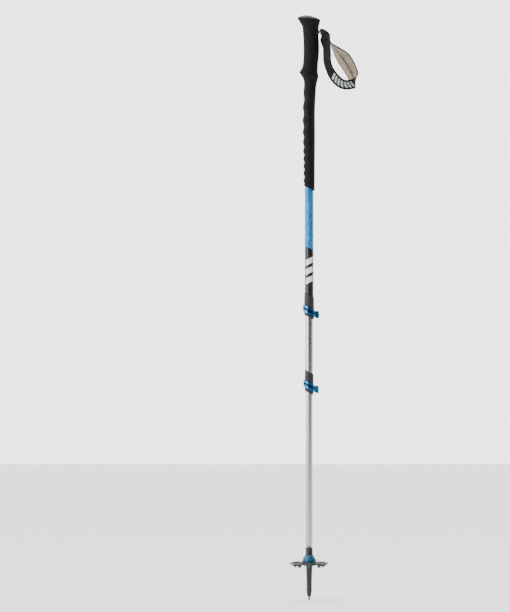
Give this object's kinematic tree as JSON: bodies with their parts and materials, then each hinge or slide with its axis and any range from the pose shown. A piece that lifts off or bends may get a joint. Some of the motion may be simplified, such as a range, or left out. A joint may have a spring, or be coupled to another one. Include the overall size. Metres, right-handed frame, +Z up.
{
  "type": "ski pole",
  "caption": "Telescopic ski touring pole with foam grip, padded wrist strap, cam lever locks, powder basket and carbide tip",
  "frame": {"origin": "The point of the carbide tip, on the axis of the tubes", "axes": "+Z runs up the axis of the tubes from the tip to the grip; +X points to the rear, the side of the grip that the wrist strap leaves from; +Y points away from the side that the lock levers close across"},
  "size_m": [0.1406, 0.08, 1.1999],
  "materials": {
    "cap_rubber": "soft satin",
    "core_plastic": "moulded",
    "grip_foam": "closed cell foam, matt",
    "steel": "turned",
    "webbing": "woven",
    "lining": "brushed knit over thin foam",
    "printed_tube": "gloss print over black",
    "bare_tube": "anodised, satin",
    "clamp_plastic": "glass filled, moulded",
    "lever_metal": "anodised blue, gloss",
    "ferrule_plastic": "moulded",
    "hub_plastic": "moulded",
    "disc_plastic": "moulded, flexible"
  },
  "bodies": {
    "upper": {"grip_cap": "cap_rubber", "grip_core": "core_plastic", "grip_foam": "grip_foam", "grip_sleeve": "grip_foam", "strap_pin": "steel", "strap_wedge": "core_plastic", "strap_root": "webbing", "upper_tube": "printed_tube", "upper_clamp": "clamp_plastic", "upper_barrel": "steel", "upper_screw": "steel", "upper_nut": "steel", "upper_washer": "steel"},
    "upper_lever": {"upper_lever": "lever_metal"},
    "strap": {"strap_webbing": "webbing", "strap_lining": "lining"},
    "middle_guide": {"middle_guide": "core_plastic"},
    "middle": {"middle_tube": "bare_tube", "lower_clamp": "clamp_plastic", "lower_barrel": "steel", "lower_screw": "steel", "lower_nut": "steel", "lower_washer": "steel"},
    "lower_lever": {"lower_lever": "lever_metal"},
    "lower_guide": {"lower_guide": "core_plastic"},
    "lower": {"lower_tube": "bare_tube", "ferrule": "ferrule_plastic", "tip_holder": "steel", "carbide_tip": "steel"},
    "disc": {"basket_disc": "disc_plastic"},
    "hub": {"basket_hub": "hub_plastic"}
  },
  "joints": [
    {"name": "upper_lever_swing", "type": "hinge", "parent": "upper", "child": "upper_lever", "pos_m": [0.01533, 0.00195, 0.58569], "axis": [0, 0, 1], "range_deg": [0, 110]},
    {"name": "strap_swing", "type": "hinge", "parent": "upper", "child": "strap", "pos_m": [0.0227, 0, 1.1645], "axis": [0, -1, 0], "range_deg": [0, 75]},
    {"name": "middle_slide", "type": "slide", "parent": "upper", "child": "middle_guide", "axis": [0, 0, -1], "range_m": [-0.1, 0.1]},
    {"name": "middle_turn", "type": "hinge", "parent": "middle_guide", "child": "middle", "pos_m": [0, 0, 0.5935], "axis": [0, 0, 1], "continuous": true},
    {"name": "lower_lever_swing", "type": "hinge", "parent": "middle", "child": "lower_lever", "pos_m": [0.01449, 0.00125, 0.43242], "axis": [0, 0, 1], "range_deg": [0, 110]},
    {"name": "lower_slide", "type": "slide", "parent": "middle", "child": "lower_guide", "axis": [0, 0, -1], "range_m": [-0.311, 0.1]},
    {"name": "lower_turn", "type": "hinge", "parent": "lower_guide", "child": "lower", "pos_m": [0, 0, 0.4398], "axis": [0, 0, 1], "continuous": true},
    {"name": "basket_pull", "type": "slide", "parent": "lower", "child": "disc", "axis": [0, 0, -1], "range_m": [0, 0.012]},
    {"name": "basket_unscrew", "type": "hinge", "parent": "disc", "child": "hub", "pos_m": [0, 0, 0.08], "axis": [0, 0, -1], "range_deg": [0, 720]}
  ],
  "couplings": [
    {"joint": "basket_unscrew", "follows": "basket_pull", "rad_per_m": 1047.2}
  ]
}
